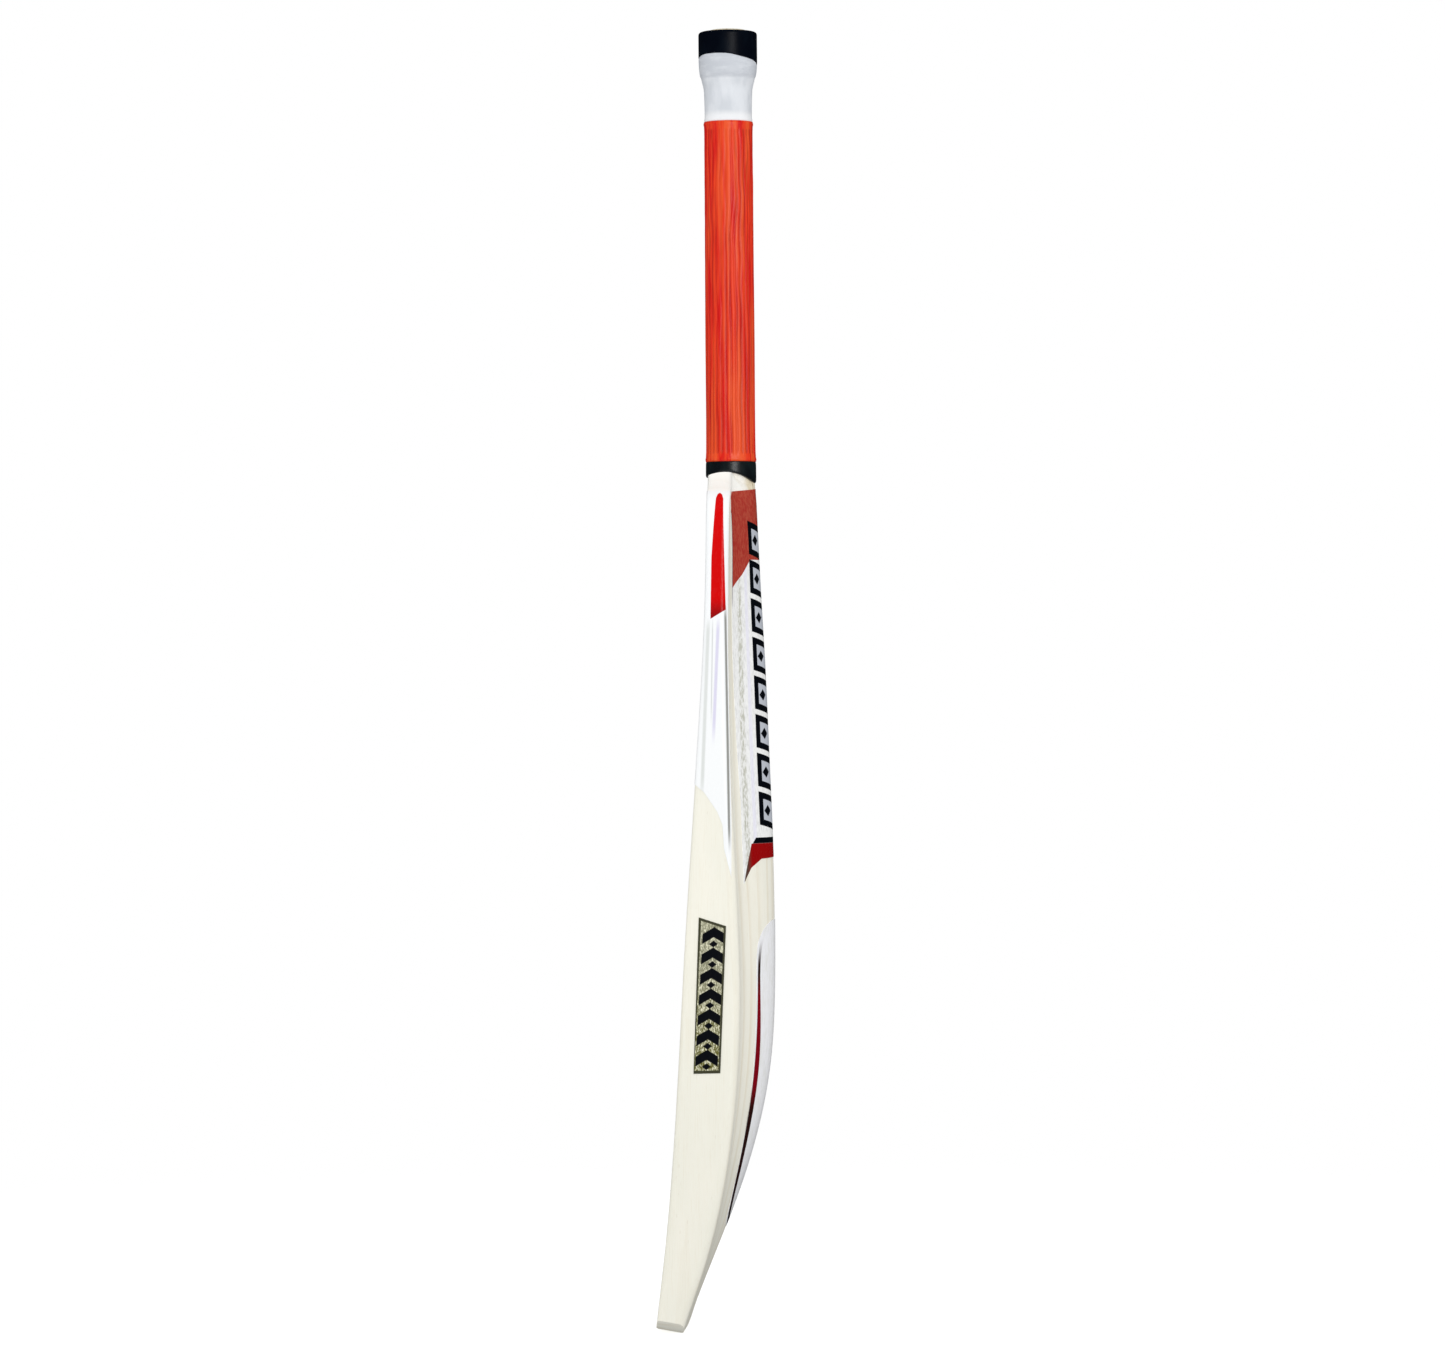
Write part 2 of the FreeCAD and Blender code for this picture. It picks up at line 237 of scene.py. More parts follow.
def willow():
    """Pale pressed willow: straight growth rings across the face, fine fibres along it."""
    m = Material("willow")
    drift = m.noise(m.stretched(0.02, 0.03, 0.004), 1.0, 3.0)
    crowd = m.noise(m.stretched(0.055, 0.03, 0.0015), 1.0, 1.0)
    ring_x = m.math("ADD", m.x, m.times(m.math("SUBTRACT", drift, 0.5), 12.0))
    ring_x = m.math("ADD", ring_x, m.times(crowd, 16.0))
    ring = m.math("FRACT", m.math("DIVIDE", m.math("ADD", ring_x, RING_SHIFT), RING_PITCH))
    strength = m.noise(m.stretched(0.07, 0.07, 0.006), 1.0, 2.0)
    late = m.times(m.step(ring, 0.50, 0.95), m.step(ring, 1.0, 0.975),
                   m.step(strength, 0.3, 0.7, 0.45, 1.0),
                   m.step(m.distance(m.x), *EDGE_RINGS_X, 0.25, 1.0))
    fibre = m.noise(m.stretched(2.6, 2.6, 0.045), 1.0, 4.0, 0.62)
    fine = m.noise(m.stretched(7.0, 7.0, 0.16), 1.0, 3.0, 0.6)
    cloud = m.noise(m.stretched(0.05, 0.05, 0.012), 1.0, 2.0)
    colour = m.mix(m.step(cloud, 0.35, 0.65), rgb(244, 242, 228), rgb(248, 245, 231))
    colour = m.mix(m.times(late, 0.30), colour, rgb(210, 190, 148))
    colour = m.mix(m.step(fibre, 0.50, 0.80, 0.0, 0.50), colour, rgb(228, 219, 194))
    colour = m.mix(m.step(fine, 0.56, 0.74, 0.0, 0.26), colour, rgb(212, 200, 172))
    fleck = m.cells(m.stretched(0.9, 0.9, 0.075))
    rare = m.noise(m.stretched(0.09, 0.09, 0.02), 1.0, 1.0)
    flecks = m.times(m.step(fleck, 0.13, 0.07), m.step(rare, 0.52, 0.62))
    colour = m.mix(m.times(flecks, 0.35), colour, rgb(170, 145, 105))
    colour = m.darken(colour, m.step(m.z, *TOE_SHADE_Z, 0.0, 0.035))
    colour = m.mix(m.times(splice_seam(m), 0.35), colour, rgb(150, 122, 84))
    colour = m.mix(m.times(shoulder_pale(m), 0.8), colour, PALE)
    height = m.math("ADD", m.times(fibre, 0.6), m.times(fine, 0.4))
    roughness = m.step(fibre, 0.3, 0.8, 0.40, 0.56)
    return m.finish(colour, roughness, m.bump(height, 0.10), Specular_IOR_Level=0.35,
                    Coat_Weight=0.12, Coat_Roughness=0.35)


def cane():
    """Laminated cane: tan, with long pale and brown bundles that show as dots on cut ends."""
    m = Material("cane")
    bundle = m.cells(m.stretched(1.5, 1.5, 0.012))
    long_grain = m.noise(m.stretched(1.6, 1.6, 0.02), 1.0, 4.0, 0.6)
    patch = m.noise(m.stretched(0.12, 0.12, 0.02), 1.0, 2.0)
    colour = m.mix(m.step(long_grain, 0.35, 0.7), rgb(240, 230, 206), rgb(224, 208, 172))
    colour = m.mix(m.step(patch, 0.4, 0.7, 0.0, 0.5), colour, rgb(244, 236, 214))
    colour = m.mix(m.step(bundle, 0.30, 0.12, 0.0, 0.5), colour, rgb(176, 146, 104))
    glue = m.distance(m.distance(m.x), CANE_HIGH.x / MM)
    colour = m.mix(m.step(glue, 0.28, 0.08, 0.0, 0.7), colour, rgb(110, 80, 48))
    colour = m.mix(m.times(shoulder_pale(m), 0.72), colour, PALE)
    height = m.math("ADD", long_grain, m.step(bundle, 0.3, 0.1))
    return m.finish(colour, m.step(long_grain, 0.3, 0.7, 0.42, 0.58), m.bump(height, 0.08),
                    Specular_IOR_Level=0.4, Coat_Weight=0.2, Coat_Roughness=0.3)


# ---- rubber and thread --------------------------------------------------------------------------

THREAD_PITCH = 0.6               # one turn of the binding


def rubber_skin(m):
    """The fine, even grain that a mould leaves."""
    return m.noise(m.stretched(1.0, 1.0, 1.0), 3.2, 3.0, 0.6)


def mottled(m, colour, shade):
    """A colour that drifts into its shade in faint clouds."""
    cloud = m.noise(m.stretched(0.11, 0.11, 0.05), 1.0, 3.0)
    return m.mix(m.step(cloud, 0.36, 0.66), colour, shade)


def satin(m, colour, roughness, specular):
    """The finish of moulded rubber."""
    skin = rubber_skin(m)
    rough = m.math("ADD", m.step(skin, 0.3, 0.7, -0.05, 0.05), roughness)
    return m.finish(colour, rough, m.bump(skin, 0.05), Specular_IOR_Level=specular)


def rubber(name, colour, shade, roughness, specular):
    """Satin moulded rubber in one mottled colour."""
    m = Material(name)
    return satin(m, mottled(m, colour, shade), roughness, specular)


def spring_rubber():
    """Tan strips between the cane, turned pale with the shoulders."""
    m = Material("spring_rubber")
    tan = mottled(m, rgb(214, 200, 170), rgb(198, 182, 150))
    return satin(m, m.mix(m.times(shoulder_pale(m), 0.8), tan, PALE), 0.6, 0.3)


def collar_grey():
    """Pale grey rubber: painted shade over the knob above the pucker, broken up by dark smudges; paler
    towards the sleeve.
    """
    m = Material("rubber_grey")
    smudge = m.noise(m.stretched(0.08, 0.08, 0.3), 1.0, 3.0, 0.6)
    knob_step = KNOB_STEP_Z / MM
    sleeve_end = SLEEVE_END_Z / MM
    # painted shade over the knob above the pucker, patchy with dark smudges
    knob_shade_and_smudge = m.times(m.step(m.z, knob_step - 1.0, knob_step + 2.0),
                        m.step(smudge, 0.35, 0.6, 0.3, 1.0))
    colour = mottled(m, rgb(224, 227, 231), rgb(208, 212, 217))
    colour = m.mix(knob_shade_and_smudge, colour, rgb(198, 202, 208))
    # the colour turns paler towards the sleeve
    paler_to_sleeve = m.step(m.z, sleeve_end + 8.0, sleeve_end + 3.0)
    colour = m.mix(m.times(paler_to_sleeve, 0.7), colour, rgb(246, 246, 246))
    return satin(m, colour, 0.5, 0.3)


def ribbed_red():
    """Red sleeve rubber: orange in long streaks and patches, partly painted sheen on the ribs; painted
    shade darkens the grooves.
    """
    m = Material("rubber_red")
    depth = m.tree.nodes.new("ShaderNodeAttribute")
    depth.attribute_name = GROOVE
    groove = m.step(depth.outputs["Fac"], 0.15, 0.75)
    streak = m.noise(m.stretched(0.55, 0.55, 0.02), 1.0, 3.0, 0.55)
    patch = m.noise(m.stretched(0.16, 0.16, 0.012), 1.0, 3.0, 0.6)
    broad = m.noise(m.stretched(0.22, 0.22, 0.008), 1.0, 2.0, 0.5)
    # the orange streaks and patches are uneven colour and partly painted sheen on the ribs
    colour = m.mix(m.step(streak, 0.38, 0.62), rgb(216, 6, 0), rgb(236, 58, 8))
    colour = m.mix(m.step(broad, 0.46, 0.62, 0.0, 0.7), colour, rgb(240, 92, 34))
    # painted shade: the rubber is darkened in the grooves, where shade falls
    dark = m.times(groove, m.step(patch, 0.38, 0.60, 0.1, 0.5))
    colour = m.mix(dark, colour, rgb(160, 2, 0))
    rough = m.step(streak, 0.3, 0.7, 0.36, 0.48)
    return m.finish(colour, rough, m.bump(rubber_skin(m), 0.06), Specular_IOR_Level=0.4)


def thread():
    """Close turns of waxed thread."""
    m = Material("thread")
    turn = m.math("SINE", m.times(m.z, 2 * math.pi / THREAD_PITCH))
    fuzz = m.noise(m.stretched(4.0, 4.0, 9.0), 1.0, 3.0)
    colour = m.mix(m.step(turn, -1.0, 0.4), rgb(120, 104, 76), rgb(198, 184, 150))
    colour = m.mix(m.times(fuzz, 0.4), colour, rgb(176, 158, 118))
    return m.finish(colour, m.step(fuzz, 0.3, 0.7, 0.55, 0.75), m.bump(turn, 0.15))


# ---- printed vinyl: inks and layout ----------------------------------------------------------------

WHITE = rgb(250, 251, 250)
SILVER = rgb(226, 226, 224)
INK = rgb(6, 9, 16)
RED = rgb(212, 0, 1)
DEEP_RED = rgb(150, 8, 10)
BROWN_RED = rgb(166, 46, 38)

# An outline is a list of (across, height) corners. On the blade's sides, across is y.
SIDE_X = (50.8, 51.4)            # the sides' print starts here
FACE_X = (49.5, 49.0)            # the face's print ends here
FACE_BACK_Y = (28.0, 29.0)       # the face lies in front of this, the sides' wedge behind it
WEDGE_FOOT_Z = (480.0, 466.0)    # the wedge deepens in colour towards its foot
SIDE_WEDGE = [(30.0, 465.0), (40.0, 471.0), (38.5, 543.5), (37.6, 546.4), (36.1, 547.6),
              (34.6, 546.6), (33.6, 544.0), (30.9, 505.0)]
SIDE_STRIPES = [                 # lower end, upper end, width, blur, ink
    ((23.6, 352.0), (28.6, 462.0), 2.2, 1.2, rgb(222, 225, 222)),
    ((31.4, 388.0), (35.0, 462.0), 2.0, 1.0, rgb(220, 217, 236)),
    ((30.0, 400.0), (31.4, 462.0), 0.8, 0.5, rgb(216, 219, 218)),
    # the dark grey line runs along the rear corner: painted shade of the rounded corner
    ((41.2, 318.0), (39.7, 470.0), 1.5, 0.8, rgb(150, 151, 146)),
]

# On the face and the back, across is the distance from the blade's middle.
FACE_SHAPES = [
    ([(31.0, 404.0), (46.5, 396.0), (46.5, 404.0), (31.0, 412.0)], RED),
    ([(32.0, 417.0), (46.5, 409.5), (46.5, 412.5), (32.0, 420.0)], INK),
    ([(36.5, 430.0), (46.5, 425.0), (46.5, 520.0), (42.5, 528.0)], RED),
]
HEAD_SHAPES = [
    [(-1.0, 504.0), (18.0, 504.0), (18.0, 560.0), (-1.0, 560.0)],
    [(16.0, 505.0), (26.0, 494.0), (37.4, 485.0), (37.4, 560.0), (16.0, 560.0)],
]
GRIT_STREAK = 29.5               # the middle of the gritty streak down each side
LILAC_STREAK = 22.5
BACK_BORDER = 37.2               # the thin dark border outside this ends below BORDER_FOOT_Z
BORDER_FOOT_Z = (470.0, 480.0)
BLOCK_COUNT = 8
BLOCK_FOOT = 326.0
BLOCK_PITCH = 25.4
BLOCK_TALL = 22.0
BLOCK_HALF = 18.0
BLOCK_LEAN = 0.22                # rise across the blade over run
BLOCK_RIM = 4.2
GEM_HALF, GEM_RISE = 4.2, 3.8    # half width and half height of a block's diamonds
FOOT_LINE = [(0.0, 317.8), (25.0, 317.8), (22.0, 321.6), (0.0, 321.6)]
FOOT_CHEVRON = [
    [(0.0, 308.0), (19.0, 307.6), (26.0, 317.8), (0.0, 317.8)],
    [(17.0, 307.6), (33.2, 292.6), (33.8, 293.4), (26.0, 317.8)],
]
FOOT_TAIL = (25.5, 30.5)         # the chevron turns from red to brown along its tail

LEAF_BORDER_Z = (240.0, 160.0)   # the spine sheet's border is thin above, wide below
LEAF_BORDER = (3.2, 6.0)
LEAF_BLUNT_Z = (150.0, 180.0)    # its end is rounder below, squarer above
LEAF_BLUNT = (5.0, 10.0)

# On the label, across is y less the label's lean, so that its middle stays put all the way up.
LABEL_LEAN = 0.066
LABEL_MIDDLE = 13.592
LABEL_INNER = [(5.9, 171.0), (21.6, 171.2), (19.9, 263.6), (4.7, 268.6)]
GLYPH_COUNT = 7
GLYPH_FOOT = 4.6                 # the lowest glyph stands this far above the label's lower end
GLYPH_PITCH = 13.3
GLYPH_HALF = 7.4
ARM_RISE = 4.6                   # each chevron arm climbs this far to the middle
ARM_TALL = 6.6
ARM_OVERLAP = 0.3                # the arms run this far past the middle, so no seam shows
DIAMOND_HALF, DIAMOND_RISE = 3.0, 2.2


# ---- printed vinyl: sheets -------------------------------------------------------------------------

def vinyl(m, colour, roughness=0.22):
    """Glossy printed sheet, laid a little unevenly over the wood."""
    ripple = m.noise(m.stretched(0.25, 0.25, 0.12), 1.0, 2.0)
    dust = m.noise(m.stretched(0.9, 0.9, 0.3), 1.0, 3.0)
    rough = m.math("ADD", m.step(dust, 0.4, 0.75, 0.0, 0.10), roughness)
    return m.finish(colour, rough, m.bump(ripple, 0.06), Specular_IOR_Level=0.15)


def line_mask(m, across, up, foot, head, width, blur):
    """1 within a straight line of a width, from (across, up) foot to head, its sides blurred."""
    (a0, u0), (a1, u1) = foot, head
    slope = (a1 - a0) / (u1 - u0)
    middle = m.math("ADD", m.times(m.math("SUBTRACT", up, u0), slope), a0)
    along = m.times(m.step(up, u0 - 8, u0 + 12), m.step(up, u1 + 6, u1 - 6))
    off = m.distance(across, middle)
    return m.times(m.step(off, (width + blur) / 2, (width - blur) / 2), along)


def face_sheet():
    """White sheet over the face and sides: red wedges and grey pinstripes."""
    m = Material("vinyl_face")
    half = m.distance(m.x)
    behind_face = m.step(m.y, *FACE_BACK_Y)
    on_side = m.step(half, *SIDE_X)
    on_face = m.times(m.math("SUBTRACT", 1.0, behind_face), m.step(half, *FACE_X))
    colour = m.mix(m.noise(m.stretched(0.02, 0.02, 0.01), 1.0, 1.0), WHITE, rgb(244, 246, 247))
    for foot, head, width, blur, ink in SIDE_STRIPES:
        stripe = line_mask(m, m.y, m.z, foot, head, width, blur)
        colour = m.mix(m.times(stripe, on_side), colour, ink)
    wedge = m.times(m.inside(m.y, m.z, SIDE_WEDGE), behind_face)
    colour = m.mix(wedge, colour, m.mix(m.step(m.z, *WEDGE_FOOT_Z), RED, DEEP_RED))
    for corners, ink in FACE_SHAPES:
        colour = m.mix(m.times(m.inside(half, m.z, corners), on_face), colour, ink)
    return vinyl(m, colour)


def back_sheet():
    """Upper back sheet: brown-red head, a column of black and silver blocks, a red chevron foot."""
    m = Material("vinyl_back")
    half = m.distance(m.x)
    speck = m.noise(m.stretched(0.8, 0.8, 0.25), 1.0, 4.0, 0.7)
    colour = m.mix(m.step(speck, 0.42, 0.66), rgb(246, 246, 244), SILVER)
    streak = m.step(m.distance(half, GRIT_STREAK), 3.2, 1.2)
    grit = m.times(streak, m.step(speck, 0.40, 0.62, 0.1, 0.75))
    colour = m.mix(grit, colour, rgb(178, 178, 158))
    lilac = m.step(m.distance(half, LILAC_STREAK), 2.0, 0.8)
    colour = m.mix(m.times(lilac, 0.6), colour, rgb(232, 230, 246))
    rub = m.mix(m.step(speck, 0.4, 0.6), BROWN_RED, rgb(180, 76, 58))
    for corners in HEAD_SHAPES:
        colour = m.mix(m.inside(half, m.z, corners), colour, rub)
    for number in range(BLOCK_COUNT):
        colour = block(m, colour, number)
    colour = m.mix(m.inside(half, m.z, FOOT_LINE), colour, INK)
    foot_ink = m.mix(m.step(half, *FOOT_TAIL), rgb(150, 2, 4), rgb(88, 62, 52))
    for corners in FOOT_CHEVRON:
        colour = m.mix(m.inside(half, m.z, corners), colour, foot_ink)
    border = m.step(m.math("SUBTRACT", BACK_BORDER, half), 0.5, 0.2)
    border = m.times(border, 0.5, m.step(m.z, *BORDER_FOOT_Z))
    return vinyl(m, m.mix(border, colour, rgb(70, 40, 40)))


def block(m, colour, number):
    """One slanted black frame, silver within, with two black diamonds."""
    low = BLOCK_FOOT + number * BLOCK_PITCH
    for rim, ink in ((0.0, INK), (BLOCK_RIM, rgb(190, 194, 202))):
        wide = BLOCK_HALF - rim
        rise = wide * BLOCK_LEAN
        corners = [(-wide, low + rim - rise), (wide, low + rim + rise),
                   (wide, low + BLOCK_TALL - rim + rise), (-wide, low + BLOCK_TALL - rim - rise)]
        colour = m.mix(m.inside(m.x, m.z, corners), colour, ink)
    middle = low + BLOCK_TALL / 2
    for side in (-1, 1):
        centre = side * BLOCK_HALF / 2
        gem = diamond(centre, middle + centre * BLOCK_LEAN, GEM_HALF, GEM_RISE)
        colour = m.mix(m.inside(m.x, m.z, gem), colour, INK)
    return colour


def diamond(across, up, half, rise):
    """The corners of a diamond round a point."""
    return [(across - half, up), (across, up - rise), (across + half, up), (across, up + rise)]


def spine_sheet():
    """Lower spine sheet: silver white, with a thin border that reddens along its middle."""
    m = Material("vinyl_spine")
    speck = m.noise(m.stretched(0.5, 0.5, 0.1), 1.0, 3.0, 0.6)
    colour = m.mix(m.step(speck, 0.4, 0.7), rgb(240, 240, 242), rgb(232, 232, 230))
    inner = in_leaf(m, m.step(m.z, *LEAF_BORDER_Z, *LEAF_BORDER))
    low, high = [corner.z / MM for corner in BOXES["spine_sticker"]]
    share = m.math("DIVIDE", m.math("SUBTRACT", m.z, low), high - low)
    line = m.times(in_leaf(m, 1.0), m.math("SUBTRACT", 1.0, inner), m.step(share, 0.95, 0.85))
    reddened = m.times(m.step(share, 0.38, 0.48), m.step(share, 0.84, 0.74))
    return vinyl(m, m.mix(line, colour, m.mix(reddened, rgb(42, 16, 12), rgb(124, 0, 18))))


def in_leaf(m, inset):
    """1 inside the spine sheet's outline, drawn in by an inset, which may be a node's output."""
    low, high = [corner / MM for corner in BOXES["spine_sticker"]]
    half_wide = m.math("SUBTRACT", (high.x - low.x) / 2, inset)
    half_tall = m.math("SUBTRACT", (high.z - low.z) / 2, inset)
    across = m.math("POWER", m.math("DIVIDE", m.distance(m.x), half_wide), 2.2)
    off = m.distance(m.z, (low.z + high.z) / 2)
    blunt = m.step(m.z, *LEAF_BLUNT_Z, *LEAF_BLUNT)
    along = m.math("POWER", m.math("DIVIDE", off, half_tall), blunt)
    return m.step(m.math("ADD", across, along), 1.02, 0.98)


def label_sheet():
    """Edge label: brushed gold and grey foil, dark border, plain black chevrons and diamonds."""
    m = Material("vinyl_label")
    low, high = [corner.z / MM for corner in BOXES["edge_label_right"]]
    grit = m.noise(m.stretched(0.4, 1.6, 0.5), 1.0, 4.0, 0.7)
    foil = m.mix(m.step(m.z, low + 10, high - 25), rgb(98, 95, 34), rgb(138, 137, 112))
    colour = m.mix(m.step(grit, 0.46, 0.62), foil, rgb(236, 234, 204))
    across = m.math("SUBTRACT", m.y, m.times(m.z, LABEL_LEAN))
    for number in range(GLYPH_COUNT):
        for shape in glyph(low + GLYPH_FOOT + number * GLYPH_PITCH):
            colour = m.mix(m.inside(across, m.z, shape, 0.2), colour, INK)
    rim = m.inside(across, m.z, LABEL_INNER, 0.2)
    colour = m.mix(m.math("SUBTRACT", 1.0, rim), colour, rgb(66, 66, 48))
    return vinyl(m, colour, 0.3)


def arm(left, left_up, right, right_up):
    """The corners of a slanted bar of even height."""
    return [(left, left_up), (right, right_up), (right, right_up + ARM_TALL), (left, left_up + ARM_TALL)]


def glyph(foot):
    """The outlines of a bold chevron, in two arms, and of the small diamond at its foot."""
    peak = foot + ARM_RISE
    return [arm(LABEL_MIDDLE - GLYPH_HALF, foot, LABEL_MIDDLE + ARM_OVERLAP, peak),
            arm(LABEL_MIDDLE - ARM_OVERLAP, peak, LABEL_MIDDLE + GLYPH_HALF, foot),
            diamond(LABEL_MIDDLE, foot, DIAMOND_HALF, DIAMOND_RISE)]


# ---- grip ------------------------------------------------------------------------------------------

GRIP = ("grip_butt_band", "grip_collar", "grip_sleeve", "grip_base_ring")
REACH = 60 * MM          # rays start this far from the handle's axis
NUDGE = 0.02 * MM        # a hair's breadth, which keeps rays off the rims of CAD faces
WALL = 1.9 * MM
SIDES = 144              # points round each smooth length
RIBS = 30
RIB_POINTS = 12          # points across each rib of the sleeve
RIB_DEPTH = 0.55 * MM
SEAM_TURN = math.radians(-28.0)    # the colour change is highest on this side


def tree_of(names):
    """One search tree over the CAD nodes' faces."""
    corners, faces = [], []
    for name in names:
        mesh = NODES[name].data
        base = len(corners)
        corners += [vertex.co.copy() for vertex in mesh.vertices]
        faces += [[base + i for i in face.vertices] for face in mesh.polygons]
    return BVHTree.FromPolygons(corners, faces)


GRIP_TREE = tree_of(GRIP)


def grip_radius(angle, z):
    """The CAD grip's outer radius, in metres."""
    out = Vector((math.cos(angle), math.sin(angle), 0.0))
    start = Vector((0.0, AXIS_Y, z)) + out * REACH
    distance = GRIP_TREE.ray_cast(start, -out)[3]
    return REACH - distance


def around(count):
    return [2 * math.pi * step / count for step in range(count)]


def ring_point(angle, radius, z):
    return Vector((radius * math.cos(angle), AXIS_Y + radius * math.sin(angle), z))


def tube(name, rings, material):
    """A closed quad skin from rings of points; the last ring joins the first."""
    count = len(rings[0])
    corners = [point for ring in rings for point in ring]
    faces = []
    for row in range(len(rings)):
        above = (row + 1) % len(rings)
        for step in range(count):
            beside = (step + 1) % count
            faces.append((row * count + step, row * count + beside,
                          above * count + beside, above * count + step))
    mesh = bpy.data.meshes.new(name)
    mesh.from_pydata(corners, [], faces)
    mesh.validate()
    mesh.shade_smooth()
    piece = bpy.data.objects.new(name, mesh)
    bpy.context.scene.collection.objects.link(piece)
    mesh.materials.append(material)
    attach(piece, "root")
    return piece


def smooth(share):
    share = min(max(share, 0.0), 1.0)
    return share * share * (3 - 2 * share)


def seam_height(angle):
    """Where the grey collar meets the black band: a slanted, slightly wavy line."""
    low = BOXES["grip_butt_band"][0].z
    high = BOXES["grip_collar"][1].z
    wave = noise.noise(Vector((math.cos(angle) * 1.7, math.sin(angle) * 1.7, 4.2)))
    middle, swing = (low + high) / 2, (high - low) / 2
    return middle + swing * math.cos(angle - SEAM_TURN) * 0.94 + wave * 0.45 * MM


def sleeve(material):
    """Ribbed red length, with a smooth raised bead at each end."""
    low, high = [corner.z for corner in BOXES["grip_sleeve"]]
    bead = 3.6 * MM
    angles = around(RIBS * RIB_POINTS)
    rows = 150
    rings = []
    grooves = []
    for row in range(rows + 1):
        z = low + (high - low) * row / rows
        end = min(z - low, high - z)
        shaped = smooth((end - bead) / (3 * MM))
        worn = smooth((z - low) / (high - low) * 1.6 - 0.35)    # ribs waver and flatten higher up
        ring = []
        for angle in angles:
            here = Vector((math.cos(angle) * 2.2, math.sin(angle) * 2.2, z / (26 * MM)))
            sway = noise.noise(here) * (0.05 + 0.09 * worn)
            lump = noise.noise(Vector((here.x * 2.4, here.y * 2.4, z / (9 * MM)))) * worn
            phase = RIBS * (angle + sway * 0.9)
            groove = (0.5 - 0.5 * math.cos(phase)) ** 1.6
            share = shaped * (groove * (1.0 - 0.35 * worn) + 0.22 * (1 + lump))
            radius = grip_radius(angle, min(max(z, low + NUDGE), high - NUDGE))
            ring.append(ring_point(angle, radius - RIB_DEPTH * share, z))
            grooves.append(share)
        rings.append(ring)
    for share in (1.0, 0.5, 0.0):
        z = low + (high - low) * share
        inner = grip_radius(0.0, min(max(z, low + 8 * MM), high - 8 * MM)) - WALL
        rings.append([ring_point(angle, inner, z) for angle in angles])
    piece = tube("sleeve_ribbed", rings, material)
    spare = len(piece.data.vertices) - len(grooves)
    attribute = piece.data.attributes.new(GROOVE, "FLOAT", "POINT")
    attribute.data.foreach_set("value", grooves + [0.0] * spare)
    return piece


def collar(material):
    """Grey length: slim at the sleeve, swelling over the knob up to the slanted colour change."""
    low = BOXES["grip_collar"][0].z
    ripple = 0.07 * MM
    angles = around(SIDES)
    rows = 60
    rings = []
    for row in range(rows + 1):
        ring = []
        for angle in angles:
            top = seam_height(angle)
            z = low + (top - low) * row / rows
            radius = grip_radius(angle, min(max(z, low + NUDGE), top)) - ripple
            radius += noise.noise(Vector((angle * 3.0, 0.0, z / (30 * MM)))) * ripple
            tuck = 0.25 * MM * smooth(1 - (z - low) / (1.2 * MM))
            pucker = 0.30 * MM * smooth(1 - abs(z - KNOB_STEP_Z) / (2.2 * MM))
            under = 0.22 * MM * smooth(1 - (top - z) / (0.6 * MM))
            slim = 0.45 * MM * smooth((z - low) / (4 * MM)) * smooth((KNOB_STEP_Z - z) / (9 * MM))
            ring.append(ring_point(angle, radius - tuck - pucker - under - slim, z))
        rings.append(ring)
    for share in (1.0, 0.8, 0.6, 0.3, 0.0):
        ring = []
        for angle in angles:
            z = low + (seam_height(angle) - low) * share
            ring.append(ring_point(angle, grip_radius(angle, max(z, low + NUDGE)) - WALL, z))
        rings.append(ring)
    return tube("collar_flared", rings, material)


def butt_band(material):
    """Black length round the knob, its lower edge rounded, its top rolled into the lip."""
    top = BOXES["grip_butt_band"][1].z
    radius = (BOXES["grip_butt_band"][1].x - BOXES["grip_butt_band"][0].x) / 2
    angles = around(SIDES)
    roll = 2.1 * MM          # radius of the rounding into the lip
    lip = 14.9 * MM          # radius of the hole that the cane peeks out of
    ripple = 0.05 * MM
    rings = []
    for share in (0.0, 0.02, 0.05, 0.1, 0.2, 0.35, 0.5, 0.65, 0.8, 0.92, 1.0):
        ring = []
        for angle in angles:
            seam = seam_height(angle)
            z = seam + (top - roll - seam) * share
            above = z - seam
            edge = 0.35 * MM * smooth(1 - above / (0.5 * MM))
            dent = noise.noise(Vector((angle * 2.0, 7.0, z / (12 * MM)))) * ripple
            outer = min(grip_radius(angle, z), radius)
            ring.append(ring_point(angle, outer - edge - ripple + dent, z))
        rings.append(ring)
    for turn in (20, 40, 60, 80, 90):
        tilt = math.radians(turn)
        wide = radius - ripple - roll * (1 - math.cos(tilt))
        z = top - roll + roll * math.sin(tilt)
        rings.append([ring_point(angle, wide, z) for angle in angles])
    for wide, drop in ((lip + 0.5 * MM, 0.0), (lip + 0.12 * MM, 0.12 * MM), (lip, 0.45 * MM),
                       (lip + 0.2 * MM, 0.9 * MM), (radius - WALL, 4.2 * MM)):
        rings.append([ring_point(angle, wide, top - drop) for angle in angles])
    rings.append([ring_point(angle, grip_radius(angle, seam_height(angle)) - WALL, seam_height(angle))
                  for angle in angles])
    return tube("butt_band_rolled", rings, material)


RING_TREE = tree_of(["grip_base_ring"])


def neck_height(angle):
    """The underside of the base ring: it follows the shoulders' arch."""
    out = Vector((math.cos(angle), math.sin(angle), 0.0))
    radius = BOXES["grip_base_ring"][1].x - 0.6 * MM
    start = Vector((0.0, AXIS_Y, BOXES["grip_base_ring"][0].z - 10 * MM)) + out * radius
    hit = RING_TREE.ray_cast(start, Vector((0.0, 0.0, 1.0)))
    return start.z + hit[3]


